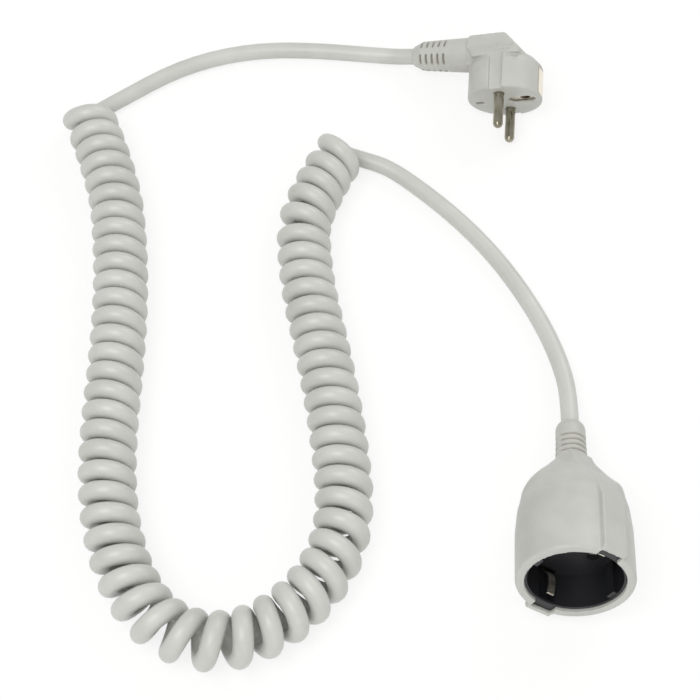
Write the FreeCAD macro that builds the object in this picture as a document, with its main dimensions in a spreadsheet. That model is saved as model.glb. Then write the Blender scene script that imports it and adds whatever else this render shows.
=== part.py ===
import FreeCAD, Part
import math
import os
import Sketcher
from FreeCAD import Placement, Rotation, Vector
from types import SimpleNamespace

# A curly extension cord for 16 A earthed two-pin plugs: an angled plug with side earth contacts,
# a straight lead, a curly section bent into a U, a second straight lead and an inline coupling.
# It lies on a table. Millimetres, +Z up, table at z = 0, the coupling's mouth faces -Y.
# The origin is at the bottom centre of the coupling's own bounding box.
#
# The coupling and the plug are each modelled in a frame of their own and then laid on the table:
# Z runs back from the mouth or the plug's face, X points to the earth contact, Y is the pin line.

# Sizes, in millimetres and degrees

SIZES = {
    "pin_spacing": (19.0, "between the pin centres"),
    "pin_radius": (2.4, "plug pin"),
    "pin_root_radius": (2.2, "pins inside the plug"),
    "pin_length": (17.5, "plug pin in front of the plug's face"),
    "wall_gap": (0.3, "between curved faces of neighbouring pieces"),
    "metal": (0.8, "thickness of the sheet metal contacts"),
    "core_radius": (1.15, "insulated core"),
    "core_circle": (1.7, "from the cable's axis to a core's axis"),
    "crimp_wall": (0.5, "wall of a crimp barrel"),
    "crimp_length": (3.2, "crimp barrel"),
    "lead_radius": (3.95, "round cable"),
    "sheath": (0.8, "cable jacket wall"),
    "cover_radius": (24.4, "coupling cover at its mouth"),
    "cover_back_radius": (21.6, "coupling cover at its shoulder"),
    "cover_depth": (43.0, "from the mouth to the shoulder"),
    "cover_rim": (1.2, "rounding of the mouth's rim"),
    "web_start": (27.0, "from the mouth to where a pad turns in towards the neck"),
    "neck_start": (63.0, "from the mouth to the neck"),
    "neck_end": (83.0, "from the mouth to the end of the neck"),
    "neck_radius": (6.9, "neck at its start"),
    "neck_taper": (0.4, "loss of the neck's radius towards its end"),
    "neck_lip": (0.9, "wall around the cable at the end of the neck"),
    "groove_start": (64.6, "from the mouth to the neck's first grip groove"),
    "groove_pitch": (2.9, "grip grooves of the neck"),
    "neck_groove_width": (1.1, "grip groove of the neck"),
    "neck_groove_depth": (0.8, "grip groove of the neck"),
    "neck_groove_span": (160.0, "how far a grip groove runs around the neck"),
    "pad_reach": (26.6, "from the axis to a pad's flat face"),
    "pad_width": (11.4, "grip pad and the web behind it"),
    "recess_radius": (19.5, "plug recess"),
    "recess_depth": (17.5, "plug recess"),
    "insert_wall": (0.8, "wall of the socket insert"),
    "insert_front": (1.5, "from the mouth to the front of the socket insert"),
    "floor_thickness": (2.6, "floor of the recess"),
    "insert_depth": (33.0, "socket insert and the cavity that holds it"),
    "pin_hole_radius": (2.7, "pin hole in the recess floor"),
    "rib_width": (4.5, "guide rib in the recess"),
    "rib_height": (2.0, "guide rib in the recess"),
    "housing_width": (10.0, "clip housing, whose dark front shows in the mouth's rim"),
    "seat_gap": (0.1, "between a clip housing and the cover"),
    "slot_start": (3.0, "from the mouth to the slot that an earth clip stands in"),
    "housing_reach": (23.6, "from the axis to the outside of a clip housing"),
    "housing_depth": (28.5, "clip housing"),
    "clip_channel": (8.0, "width of the slot that an earth clip stands in"),
    "clip_reach": (21.8, "from the axis to the outside of an earth clip"),
    "clip_bulge": (15.3, "from the axis to the clip's contact point"),
    "clip_front": (4.2, "from the mouth to the clip's free end"),
    "clip_bend": (18.5, "from the mouth to where the clip leans inward"),
    "clip_width": (3.4, "earth clip"),
    "bar_width": (6.0, "bar of the earth bracket"),
    "bracket_depth": (26.0, "from the mouth to the bar of the earth bracket"),
    "pivot_radius": (1.5, "pivot of the shutter"),
    "pivot_end": (25.4, "from the mouth to the end of the shutter's pivot"),
    "pivot_gap": (0.1, "between the pivot and the shutter"),
    "shutter_thickness": (1.5, "pin-hole shutter"),
    "shutter_reach": (13.5, "from the axis to a shutter arm's tip"),
    "shutter_width": (7.0, "shutter arm"),
    "shutter_hub": (4.0, "radius of the shutter's hub"),
    "spring_radius": (2.6, "shutter spring, to the wire's centre"),
    "spring_wire": (0.5, "shutter spring wire"),
    "spring_pitch": (1.0, "shutter spring"),
    "spring_turns": (2.5, "shutter spring"),
    "contact_depth": (24.0, "from the mouth to the front of a contact sleeve"),
    "contact_end": (39.4, "from the mouth to the closed end of a contact sleeve"),
    "contact_wall": (0.7, "wall of a contact sleeve"),
    "carrier_thickness": (3.0, "contact carrier in the coupling"),
    "room_radius": (13.1, "wiring room of the coupling"),
    "room_end": (46.5, "from the mouth to the end of the wiring room"),
    "throat_end": (56.0, "from the mouth to the end of the clamp's seat"),
    "clamp_length": (4.0, "crimped ring on the cable end"),
    "clamp_wall": (0.7, "crimped ring on the cable end"),
    "plug_radius": (18.0, "plug body"),
    "plug_shoulder": (16.6, "from the plug's face to its shoulder"),
    "plug_back": (20.4, "from the plug's face to the end of its cone"),
    "plug_back_radius": (14.2, "plug body at the end of its cone"),
    "plug_rim": (0.8, "rounding of the plug's rim"),
    "plug_flat": (17.6, "from the axis to the flat under the cable"),
    "plug_flare": (4.0, "height of the full round rim below the flat"),
    "cap_top": (32.2, "from the plug's face to the top of the cap"),
    "cap_width": (19.0, "grip cap of the plug"),
    "skirt_start": (17.4, "from the plug's face to the lower edge of the cap's skirt"),
    "skirt_top": (26.2, "from the plug's face to where the skirt meets the grip"),
    "skirt_width": (34.8, "skirt of the cap at its lower edge"),
    "skirt_left": (12.0, "from the axis to the skirt's lower corner on the cable's side"),
    "skirt_right": (11.5, "from the axis to the skirt's lower corner on the earth side"),
    "skirt_top_right": (5.8, "from the axis to the skirt's upper corner on the earth side"),
    "groove_width": (6.4, "guide groove of the plug"),
    "groove_depth": (2.0, "guide groove of the plug"),
    "side_width": (7.6, "recess over a side earth contact"),
    "side_depth": (1.1, "recess over a side earth contact"),
    "side_length": (15.5, "from the plug's face to the end of a side earth contact"),
    "plug_room": (13.2, "radius of the cavity around the pin carrier"),
    "face_thickness": (1.4, "wall of the plug's face"),
    "strip_width": (7.0, "earth strip of the plug"),
    "carrier_radius": (12.9, "pin carrier"),
    "carrier_end": (8.5, "from the plug's face to the back of the pin carrier"),
    "earth_offset": (10.0, "from the axis to the earth socket"),
    "window_offset": (8.6, "from the axis to the middle of the earth window"),
    "earth_bore": (2.45, "earth socket"),
    "earth_end": (13.0, "from the plug's face to the end of the earth socket"),
    "relief_height": (26.0, "from the plug's face to the axis of its strain relief"),
    "relief_start": (16.9, "from the axis to the start of the strain relief"),
    "relief_length": (30.8, "strain relief of the plug"),
    "relief_radius": (8.7, "strain relief at the cap"),
    "relief_end_radius": (7.2, "strain relief before its rounded nose"),
    "relief_nose": (4.8, "length of the strain relief's nose"),
    "relief_tilt": (4.8, "tilt of the strain relief"),
    "curl_radius": (8.25, "curly section, to the wire's centre"),
    "curl_wire": (8.8, "diameter of the curly section's wire"),
    "curl_gap": (0.6, "between curls on the inside of a bend"),
    "curl_open": (0.4, "growth of the first and the last curl"),
    "curl_tail": (6.0, "stretch of the half curl at the plug's lead along the axis"),
    "curl_end_tail": (4.5, "stretch of the half curl at the coupling's lead along the axis"),
    "curl_end_aim": (3.1, "how strongly that half curl turns towards its lead"),
    "coupling_tilt": (13.0, "nose of the coupling above the table"),
    "coupling_roll": (59.0, "earth contact of the coupling above the table"),
    "plug_tilt": (15.7, "pins of the plug towards the table"),
    "plug_roll": (21.0, "earth socket of the plug above the table"),
}

# Where the plug's face lies, and the routes as points chosen along the photographed cord

PLUG_AT = (-31.9, 215.6)

CURLY_AXIS = [
    (-232.7, 196.8), (-215.2, 160.3), (-207, 120.8), (-203.2, 90.8), (-201.2, 60.8),
    (-200.2, 30.8), (-197.7, 2.8), (-192.2, -21.2), (-181.7, -44.7), (-166.2, -61.2), (-146.2, -66.7),
    (-126.2, -60.7), (-108.7, -45.2), (-97.2, -24.2), (-95, -2.2), (-98.7, 22.8), (-104.5, 50.8),
    (-111.7, 78.8), (-119, 104.8), (-123.2, 129.8), (-123.7, 144.8), (-114.7, 171.8), (-108.8, 184.1),
]
PLUG_ROUTE = [
    (-93.6, 250.7, 4.2), (-106, 251.3, 4), (-127.7, 252, 4), (-151.7, 250.8, 4), (-175, 244.9, 4),
    (-197, 234, 4),
]
COUPLING_ROUTE = [
    (-2.1, 72.8, 6.4), (-10.2, 95.8, 4.3), (-22, 117.1, 4), (-36.1, 137, 4), (-52.4, 154.6, 4.2),
    (-69.7, 169.7, 4.2),
]
ROUTE_START = 13.0
PLUG_ROUTE_START = 8.0
STEPS_PER_CURL = 4

# The cover's outline as shares: of its change in radius, and of the length of that stretch

COVER_SIDE = [(1, 0.33), (0.96, 0.56), (0.64, 0.79), (0.21, 0.91)]
COVER_BACK = [(1, 0), (0.91, 0.15), (0.76, 0.3), (0.58, 0.45), (0.41, 0.6), (0.25, 0.75),
              (0.08, 0.9), (0.02, 1)]
PAD_SIDE = [(1, 0), (0.87, 0.19), (0.81, 0.28), (0.72, 0.36), (0.61, 0.44), (0.49, 0.53),
            (0.37, 0.61), (0.27, 0.69), (0.2, 0.78), (0.13, 0.86), (0.06, 0.94), (0.02, 1)]
NECK_GROOVES = 4

# An earth clip's curve as shares: of its way inward, and of the length from end to end

CLIP_CURVE = [(0.2, 0), (0.12, 0.12), (0.03, 0.26), (0, 0.42), (0.05, 0.56), (0.24, 0.72),
              (0.58, 0.87), (1, 1)]


class Rule:
    """A size together with the sheet expression that gives it."""

    def __init__(self, value, text):
        self.value = value
        self.text = text

    def joined(self, sign, other, value):
        return Rule(value, "(%s %s %s)" % (self.text, sign, other.text))

    def __add__(self, other):
        other = as_rule(other)
        return self.joined("+", other, self.value + other.value)

    def __sub__(self, other):
        other = as_rule(other)
        return self.joined("-", other, self.value - other.value)

    def __mul__(self, other):
        other = as_rule(other)
        return self.joined("*", other, self.value * other.value)

    def __truediv__(self, other):
        other = as_rule(other)
        return self.joined("/", other, self.value / other.value)

    def __neg__(self):
        return as_rule(0) - self

    def __radd__(self, other):
        return as_rule(other) + self

    def __rsub__(self, other):
        return as_rule(other) - self

    def __rmul__(self, other):
        return as_rule(other) * self


def as_rule(number):
    if isinstance(number, Rule):
        return number
    return Rule(float(number), "(%.6f)" % number)


# Document and sheet

doc = FreeCAD.newDocument("extension_cord")
sheet = doc.addObject("Spreadsheet::Sheet", "Sizes")
for row, (name, (value, meaning)) in enumerate(SIZES.items(), 1):
    sheet.set("A%d" % row, meaning)
    sheet.set("B%d" % row, str(value))
    sheet.setAlias("B%d" % row, name)
doc.recompute()
size = SimpleNamespace(**{name: Rule(value[0], "Sizes." + name) for name, value in SIZES.items()})
number = SimpleNamespace(**{name: value[0] for name, value in SIZES.items()})
pieces = []


# Places of the coupling and the plug on the table

def laid_down(at, height, tilt, roll):
    """turns a piece's Z to +Y and dips it by the tilt, after a roll about that Z"""
    turn = Rotation(Vector(1, 0, 0), -90 - tilt) * Rotation(Vector(0, 0, 1), -roll)
    return Placement(Vector(at[0], at[1], height), turn)


def resting_height(radius, depth, tilt):
    """the height of a round body's front centre when the edge at that depth touches the table"""
    dip = math.radians(tilt)
    return radius * math.cos(dip) + depth * math.sin(dip)


dip = math.radians(number.coupling_tilt)
roll = math.radians(number.coupling_roll)


def pad_corner(reach):
    """how far a pad's lower corner lies below the coupling's axis"""
    return reach * math.sin(roll) + number.pad_width / 2 * math.cos(roll)


coupling_height = max(
    resting_height(number.cover_back_radius, number.cover_depth, number.coupling_tilt),
    resting_height(pad_corner(number.pad_reach), number.web_start, number.coupling_tilt))
plug_height = resting_height(number.plug_radius, number.plug_rim, -number.plug_tilt)
coupling_front = math.sin(dip) * max(number.cover_radius - number.cover_rim,
                                     pad_corner(number.pad_reach - number.cover_rim))
coupling_back = (number.neck_end * math.cos(dip)
                 + (number.lead_radius + number.neck_lip) * math.sin(dip))
COUPLING_PLACE = laid_down((0, (coupling_front - coupling_back) / 2), coupling_height,
                           number.coupling_tilt, number.coupling_roll)
PLUG_PLACE = laid_down(PLUG_AT, plug_height, -number.plug_tilt, number.plug_roll)

relief_turn = Rotation(Vector(0, 1, 0), number.relief_tilt - 90)
RELIEF_PLACE = Placement(Vector(-number.relief_start, 0, number.relief_height), relief_turn)


# Modelling helpers

def piece_body(name, place):
    body = doc.addObject("PartDesign::Body", name)
    body.Label = name
    body.Placement = place
    pieces.append(body)
    return body


def tie(thing, **rules):
    for name, rule in rules.items():
        thing.setExpression(name, as_rule(rule).text)


def outline(body, name, corners):
    """a closed outline on the body's XZ plane, each corner tied to the sheet"""
    sketch = body.newObject("Sketcher::SketchObject", name)
    plane = next(p for p in body.Origin.OriginFeatures if p.Role == "XZ_Plane")
    sketch.AttachmentSupport = [(plane, "")]
    sketch.MapMode = "FlatFace"
    spots = [Vector(as_rule(x).value, as_rule(z).value, 0) for x, z in corners]
    for here, there in zip(spots, spots[1:] + spots[:1]):
        sketch.addGeometry(Part.LineSegment(here, there), False)
    for i in range(len(corners)):
        sketch.addConstraint(Sketcher.Constraint("Coincident", i, 2, (i + 1) % len(corners), 1))
    for i, corner in enumerate(corners):
        for kind, axis, place in zip(("DistanceX", "DistanceY"), (-2, -1), corner):
            rule = as_rule(place)
            if rule.value == 0:
                sketch.addConstraint(Sketcher.Constraint("PointOnObject", i, 1, axis))
            else:
                tied = sketch.addConstraint(Sketcher.Constraint(kind, -1, 1, i, 1, rule.value))
                sketch.setExpression("Constraints[%d]" % tied, rule.text)
    return sketch


def turned(body, name, corners, kind="Revolution"):
    """a solid of revolution about Z, from corners given as (radius, z)"""
    sketch = outline(body, name + "_outline", corners)
    feature = body.newObject("PartDesign::" + kind, name)
    feature.Profile = sketch
    feature.ReferenceAxis = (sketch, ["V_Axis"])
    feature.Angle = 360
    sketch.Visibility = False
    return feature


def slab(body, name, corners, thickness, kind="Pad"):
    """an outline in X and Z, given thickness to both sides of the XZ plane"""
    sketch = outline(body, name + "_outline", corners)
    feature = body.newObject("PartDesign::" + kind, name)
    feature.Profile = sketch
    feature.Midplane = True
    tie(feature, Length=thickness)
    return feature


def put(thing, base, turn=None):
    """ties the place of a primitive, whose base is given in its own turned directions"""
    turn = turn or Rotation()
    thing.Placement = Placement(Vector(), turn)
    columns = [turn.multVec(Vector(*axis)) for axis in ((1, 0, 0), (0, 1, 0), (0, 0, 1))]
    for axis in "xyz":
        parts = [getattr(column, axis) * as_rule(part) for column, part in zip(columns, base)]
        tie(thing, **{"Placement.Base." + axis: parts[0] + parts[1] + parts[2]})


def block(body, action, name, centre, sides, turn=None):
    box = body.newObject("PartDesign::%sBox" % action, name)
    tie(box, Length=sides[0], Width=sides[1], Height=sides[2])
    put(box, [as_rule(c) - as_rule(s) / 2 for c, s in zip(centre, sides)], turn)
    return box


def rod(body, action, name, radius, start, length, turn=None):
    cylinder = body.newObject("PartDesign::%sCylinder" % action, name)
    tie(cylinder, Radius=radius, Height=length)
    put(cylinder, start, turn)
    return cylinder


def cone(body, action, name, radii, start, length, turn=None):
    feature = body.newObject("PartDesign::%sCone" % action, name)
    tie(feature, Radius1=radii[0], Radius2=radii[1], Height=length)
    put(feature, start, turn)
    return feature


def about_z(angle):
    return Rotation(Vector(0, 0, 1), angle)


# Coupling

half_line = size.pin_spacing / 2
cavity_radius = size.recess_radius + size.insert_wall + size.wall_gap
floor_back = size.recess_depth + size.floor_thickness
channel_radius = size.lead_radius + size.wall_gap
throat_radius = size.lead_radius + size.clamp_wall + 2 * size.wall_gap


def between(low, high, share):
    return low + (high - low) * share


def coupling_cover():
    """white overmoulded cover with two grip pads that run in to a grooved neck"""
    body = piece_body("coupling_cover", COUPLING_PLACE)
    side_line = [(between(size.cover_back_radius, size.cover_radius, share),
                  size.cover_depth * run) for share, run in COVER_SIDE]
    back_line = [(between(size.neck_radius, size.cover_back_radius, share),
                  between(size.cover_depth, size.neck_start, run)) for share, run in COVER_BACK]
    turned(body, "cover_shell", [
        (0, 0),
        (size.cover_radius - size.cover_rim, 0),
        (size.cover_radius - size.cover_rim * 0.3, size.cover_rim * 0.3),
        (size.cover_radius, size.cover_rim),
    ] + side_line + back_line + [
        (size.neck_radius, size.neck_start + 2),
        (size.neck_radius - size.neck_taper, size.neck_end - 2.6),
        (size.neck_radius - size.neck_taper - 0.6, size.neck_end - 1),
        (size.lead_radius + size.neck_lip, size.neck_end),
        (0, size.neck_end),
    ])
    pad_line = [(between(size.neck_radius, size.pad_reach, share),
                 between(size.web_start, size.neck_start, run)) for share, run in PAD_SIDE]
    sides = [(size.pad_reach - size.cover_rim, 0), (size.pad_reach, size.cover_rim)] + pad_line
    sides += [(size.neck_radius - 1, size.neck_start + 1)]
    mirrored = [(-x, z) for x, z in reversed(sides)]
    slab(body, "grip_pads", sides + mirrored, size.pad_width)
    beyond = 2 * size.cover_radius
    for side in (1, -1):
        corners = [(side * x, z) for x, z in pad_line]
        corners += [(side * beyond, size.neck_start), (side * beyond, size.web_start)]
        slab(body, "shoulder_cut_%d" % (side + 1), corners, 3 * size.cover_radius, "Pocket")
    rod(body, "Subtractive", "insert_cavity", cavity_radius, (0, 0, 0), size.insert_depth)
    rod(body, "Subtractive", "wiring_room", size.room_radius, (0, 0, size.insert_depth - 1),
        size.room_end - size.insert_depth + 1)
    rod(body, "Subtractive", "clamp_seat", throat_radius, (0, 0, size.room_end - 1),
        size.throat_end - size.room_end + 1)
    rod(body, "Subtractive", "cable_channel", channel_radius, (0, 0, size.throat_end - 1),
        size.neck_end - size.throat_end + 2)
    room = size.housing_reach + size.seat_gap - size.recess_radius
    for side in (1, -1):
        block(body, "Subtractive", "housing_room_%d" % (side + 1),
              (side * (size.recess_radius + room / 2), 0, size.housing_depth / 2),
              (room, size.housing_width + 2 * size.seat_gap, size.housing_depth + 2 * size.seat_gap))
        neck_grooves(body, side)
    return body


def neck_grooves(body, side):
    """grip grooves around one side of the neck, cut with a comb-shaped outline"""
    outside = size.neck_radius + 2
    clear = size.neck_radius + 0.5
    floor = size.neck_radius - size.neck_groove_depth
    last = size.groove_start + size.groove_pitch * (NECK_GROOVES - 1) + size.neck_groove_width
    comb = [(side * outside, last), (side * outside, size.groove_start)]
    for i in range(NECK_GROOVES):
        front = size.groove_start + size.groove_pitch * i
        back = front + size.neck_groove_width
        comb += [(side * clear, front), (side * floor, front), (side * floor, back),
                 (side * clear, back)]
    grooves = turned(body, "neck_grooves_%d" % (side + 1), comb, "Groove")
    grooves.Midplane = True
    tie(grooves, Angle=size.neck_groove_span)


def socket_insert():
    """black insert: the plug recess, its floor, a housing for each earth clip and the skirt"""
    body = piece_body("socket_insert", COUPLING_PLACE)
    outer = size.recess_radius + size.insert_wall
    skirt = size.recess_radius + 0.1
    front = size.insert_front
    turned(body, "recess_and_skirt", [
        (size.recess_radius + 0.3, front),
        (outer, front),
        (outer, size.insert_depth),
        (skirt, size.insert_depth),
        (skirt, floor_back),
        (0, floor_back),
        (0, size.recess_depth),
        (size.recess_radius, size.recess_depth),
        (size.recess_radius, front + 0.3),
    ])
    rod(body, "Additive", "shutter_pivot", size.pivot_radius, (0, 0, floor_back - 0.5),
        size.pivot_end - floor_back + 0.5)
    inner = size.recess_radius + 0.4
    reach = size.housing_reach - inner
    slot_inner = size.recess_radius - 2
    slot_reach = size.clip_reach + 1 - slot_inner
    slot_end = size.housing_depth - 1.5
    rib_start = front + 0.5
    rib_length = size.recess_depth + 0.5 - rib_start
    for side in (1, -1):
        name = "left" if side < 0 else "right"
        block(body, "Additive", "clip_housing_" + name,
              (side * (inner + reach / 2), 0, (front + size.housing_depth) / 2),
              (reach, size.housing_width, size.housing_depth - front))
        block(body, "Subtractive", "clip_slot_" + name,
              (side * (slot_inner + slot_reach / 2), 0, (size.slot_start + slot_end) / 2),
              (slot_reach, size.clip_channel, slot_end - size.slot_start))
        block(body, "Additive", "guide_rib_" + name,
              (0, side * (size.recess_radius - size.rib_height / 2 + 0.4),
               rib_start + rib_length / 2),
              (size.rib_width, size.rib_height + 0.8, rib_length))
        rod(body, "Subtractive", "pin_hole_" + name, size.pin_hole_radius,
            (0, side * half_line, size.recess_depth - 1), size.floor_thickness + 2)
    return body


def contact_carrier():
    """plate on the cavity's shoulder that holds the contacts from behind"""
    body = piece_body("contact_carrier", COUPLING_PLACE)
    start = size.insert_depth - size.carrier_thickness
    rod(body, "Additive", "plate", size.recess_radius + 0.1 - size.wall_gap, (0, 0, start),
        size.carrier_thickness)
    sleeve = size.pin_radius + 0.1 + size.contact_wall
    for side in (1, -1):
        rod(body, "Subtractive", "sleeve_hole_%d" % (side + 1), sleeve + size.wall_gap,
            (0, side * half_line, start - 1), size.carrier_thickness + 2)
    block(body, "Subtractive", "tail_hole",
          (size.earth_offset - 1, 0, start + size.carrier_thickness / 2),
          (size.metal + 2 * size.wall_gap, size.clip_width + 2 * size.wall_gap,
           size.carrier_thickness + 2))
    return body


def contact(name, side):
    """brass sleeve that grips a pin, with the crimp barrel for its core behind"""
    body = piece_body(name, COUPLING_PLACE)
    bore = size.pin_radius + 0.1
    at_line = side * half_line
    barrel = size.core_radius + size.wall_gap
    rod(body, "Additive", "sleeve", bore + size.contact_wall, (0, at_line, size.contact_depth),
        size.contact_end - size.contact_depth)
    rod(body, "Additive", "crimp", barrel + size.crimp_wall, (0, at_line, size.contact_end - 0.5),
        size.crimp_length + 0.5)
    rod(body, "Subtractive", "pin_bore", bore, (0, at_line, size.contact_depth - 1),
        size.contact_end - size.contact_depth)
    rod(body, "Subtractive", "core_bore", barrel, (0, at_line, size.contact_end + 1),
        size.crimp_length)
    length = size.contact_end - size.contact_depth - 4
    block(body, "Subtractive", "spring_slit",
          (0, at_line, size.contact_depth + length / 2 - 1), (0.6, 12, length))
    return body


def earth_bracket():
    """sheet metal bar behind the floor with a sprung clip at each end and a tail to its core"""
    body = piece_body("earth_bracket", COUPLING_PLACE)
    out = size.clip_reach
    back = size.bracket_depth + size.metal
    block(body, "Additive", "bar", (0, 0, size.bracket_depth + size.metal / 2),
          (2 * out, size.bar_width, size.metal))
    curve = [(between(size.clip_bulge + size.metal, out, share),
              between(size.clip_front, size.clip_bend, run)) for share, run in CLIP_CURVE]
    clip = [(x - size.metal, z) for x, z in curve] + [(out - size.metal, back), (out, back)]
    clip += curve[::-1]
    for side in (1, -1):
        slab(body, "clip_%d" % (side + 1), [(side * x, z) for x, z in clip], size.clip_width)
    rod(body, "Subtractive", "pivot_hole", size.pivot_radius + 0.5, (0, 0, size.bracket_depth - 1), 3)
    tail = size.contact_end + 1 - size.bracket_depth
    at_tail = size.earth_offset - 1
    barrel = size.core_radius + size.wall_gap
    block(body, "Additive", "tail", (at_tail, 0, size.bracket_depth + tail / 2),
          (size.metal, size.clip_width, tail))
    rod(body, "Additive", "crimp", barrel + size.crimp_wall, (at_tail, 0, size.contact_end + 0.8),
        size.crimp_length - 0.8)
    rod(body, "Subtractive", "core_bore", barrel, (at_tail, 0, size.contact_end + 1.4),
        size.crimp_length)
    return body


def shutter():
    """two-armed disc behind the floor that keeps the pin holes shut"""
    body = piece_body("shutter", COUPLING_PLACE)
    start = floor_back + size.wall_gap
    middle = start + size.shutter_thickness / 2
    rod(body, "Additive", "hub", size.shutter_hub, (0, 0, start), size.shutter_thickness)
    block(body, "Additive", "arms", (0, 0, middle),
          (size.shutter_width, 2 * size.shutter_reach, size.shutter_thickness))
    rod(body, "Subtractive", "pivot_bore", size.pivot_radius + size.pivot_gap, (0, 0, start - 1),
        size.shutter_thickness + 2)
    return body


def shutter_spring():
    """torsion spring around the pivot, between the shutter and the earth bracket"""
    start = floor_back.value + number.shutter_thickness + 2 * number.wall_gap + number.spring_wire / 2
    rise = number.spring_pitch / (2 * math.pi)
    path = []
    for i in range(round(4 * number.spring_turns) + 1):
        angle = i * math.pi / 2
        spot = Vector(number.spring_radius * math.cos(angle), number.spring_radius * math.sin(angle),
                      start + rise * angle)
        along = Vector(-number.spring_radius * math.sin(angle),
                       number.spring_radius * math.cos(angle), rise).normalize()
        path.append((spot, along))
    edges = [arc.toShape() for (spot, along), (end, end_along) in zip(path, path[1:])
             for arc in biarc(spot, along, end, end_along)]
    solid = swept(edges, number.spring_wire / 2, "shutter_spring",
                  [edge.Curve.Radius for edge in edges])
    return kept("shutter_spring", solid, COUPLING_PLACE)


def clamp_ring(name, place, start):
    """metal ring crimped on the cable end"""
    body = piece_body(name, place)
    inner = size.lead_radius + size.wall_gap
    rod(body, "Additive", "ring", inner + size.clamp_wall, (0, 0, start), size.clamp_length)
    rod(body, "Subtractive", "ring_bore", inner, (0, 0, as_rule(start) - 1), size.clamp_length + 2)
    return body


def cable_end(name, place, start, end):
    """the stripped end of the cable's jacket"""
    body = piece_body(name, place)
    length = as_rule(end) - start
    rod(body, "Additive", "jacket", size.lead_radius, (0, 0, start), length)
    rod(body, "Subtractive", "jacket_bore", size.lead_radius - size.sheath, (0, 0, as_rule(start) - 1),
        length + 2)
    return body


# Pieces shaped directly from the sheet's numbers

def kept(name, shape, place):
    feature = doc.addObject("Part::Feature", name)
    feature.Label = name
    feature.Shape = shape
    feature.Placement = place
    pieces.append(feature)
    return feature


def tube(points, radius, name):
    """a solid tube on straight runs joined by arcs as large as the runs allow"""
    spots = [Vector(*point) for point in points]
    edges = []
    radii = []
    here = spots[0]
    for before, corner, after in zip(spots, spots[1:], spots[2:]):
        to_corner = (corner - before).normalize()
        from_corner = (after - corner).normalize()
        turn = to_corner.getAngle(from_corner)
        reach = 0.45 * min(corner.distanceToPoint(before), corner.distanceToPoint(after))
        arc_start = corner - to_corner * reach
        arc_end = corner + from_corner * reach
        arc_radius = reach / math.tan(turn / 2)
        inward = (from_corner - to_corner).normalize()
        middle = corner + inward * (arc_radius / math.cos(turn / 2) - arc_radius)
        edges.append(Part.LineSegment(here, arc_start).toShape())
        edges.append(Part.Arc(arc_start, middle, arc_end).toShape())
        radii.append(arc_radius)
        here = arc_end
    edges.append(Part.LineSegment(here, spots[-1]).toShape())
    return swept(edges, radius, name, radii)


def swept(edges, radius, name, radii):
    path = Part.Wire(edges)
    start = path.Edges[0].valueAt(path.Edges[0].FirstParameter)
    along = path.Edges[0].tangentAt(path.Edges[0].FirstParameter)
    section = Part.Wire([Part.makeCircle(radius, start, along)])
    solid = path.makePipeShell([section], True, False)
    share = solid.Volume / (math.pi * radius ** 2 * path.Length)
    print("%s: length %.1f, smallest radius %.1f, volume by section and length %.4f"
          % (name, path.Length, min(radii), share))
    return solid


class CurlyAxis:
    """the curly section's middle line, from straight runs and arcs, measured by length"""

    def __init__(self, points):
        spots = [Vector(x, y, 0) for x, y in points]
        self.spans = []
        self.length = 0
        here = spots[0]
        for before, corner, after in zip(spots, spots[1:], spots[2:]):
            to_corner = (corner - before).normalize()
            from_corner = (after - corner).normalize()
            turn = to_corner.getAngle(from_corner)
            side = math.copysign(1, to_corner.cross(from_corner).z)
            reach = 0.45 * min(corner.distanceToPoint(before), corner.distanceToPoint(after))
            bend = side * math.tan(turn / 2) / reach
            arc_start = corner - to_corner * reach
            self.add(here, to_corner, arc_start.distanceToPoint(here), 0)
            self.add(arc_start, to_corner, turn / abs(bend), bend)
            here = corner + from_corner * reach
        self.add(here, from_corner, spots[-1].distanceToPoint(here), 0)

    def add(self, start, along, length, bend):
        self.spans.append((self.length, length, start, along, bend))
        self.length += length

    def at(self, distance):
        """the point and the direction at a distance along the line"""
        for start_at, length, start, along, bend in self.spans:
            if distance <= start_at + length:
                break
        run = distance - start_at
        if bend == 0:
            return start + along * run, along
        left = Vector(-along.y, along.x, 0)
        angle = bend * run
        point = start + along * (math.sin(angle) / bend) + left * ((1 - math.cos(angle)) / bend)
        return point, along * math.cos(angle) + left * math.sin(angle)


def curl_places():
    """the distance along the axis at each step of the curls: they touch inside each bend"""
    pitch = number.curl_wire + number.curl_gap
    ends = [0]
    for start_at, length, start, along, bend in axis.spans:
        ends.append(ends[-1] + length * (1 - number.curl_radius * abs(bend)) / pitch)
    count = round(ends[-1])
    marks = [(end * count / ends[-1], span[0] + span[1])
             for end, span in zip(ends[1:], axis.spans)]
    return count, [(0, 0)] + marks


def curl_point(turns):
    """a point of the curly wire's centre, after that many turns"""
    for (low_turns, low), (high_turns, high) in zip(marks, marks[1:]):
        if turns <= high_turns:
            break
    distance = low + (high - low) * (turns - low_turns) / (high_turns - low_turns)
    centre, along = axis.at(min(distance, axis.length))
    sideways = Vector(along.y, -along.x, 0)
    from_end = min(turns, curls - turns)
    radius = number.curl_radius + number.curl_open * max(0, 1 - from_end) ** 2
    angle = 2 * math.pi * turns
    height = number.curl_wire / 2 + radius * (1 - math.cos(angle))
    near_end = max(0, 1 - 2 * from_end)
    rise = near_end ** 2 * (3 - 2 * near_end)
    if turns < curls / 2:
        outward = along * (-number.curl_tail * rise)
    else:
        aim = number.curl_end_aim * near_end ** 2 * (1 - near_end)
        outward = along * (number.curl_end_tail * rise + aim)
    return centre + outward + sideways * (radius * math.sin(angle)) + Vector(0, 0, height)


def curl_direction(turns):
    step = 0.0001
    before = curl_point(max(0, turns - step))
    after = curl_point(min(curls, turns + step))
    return (after - before).normalize()


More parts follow.
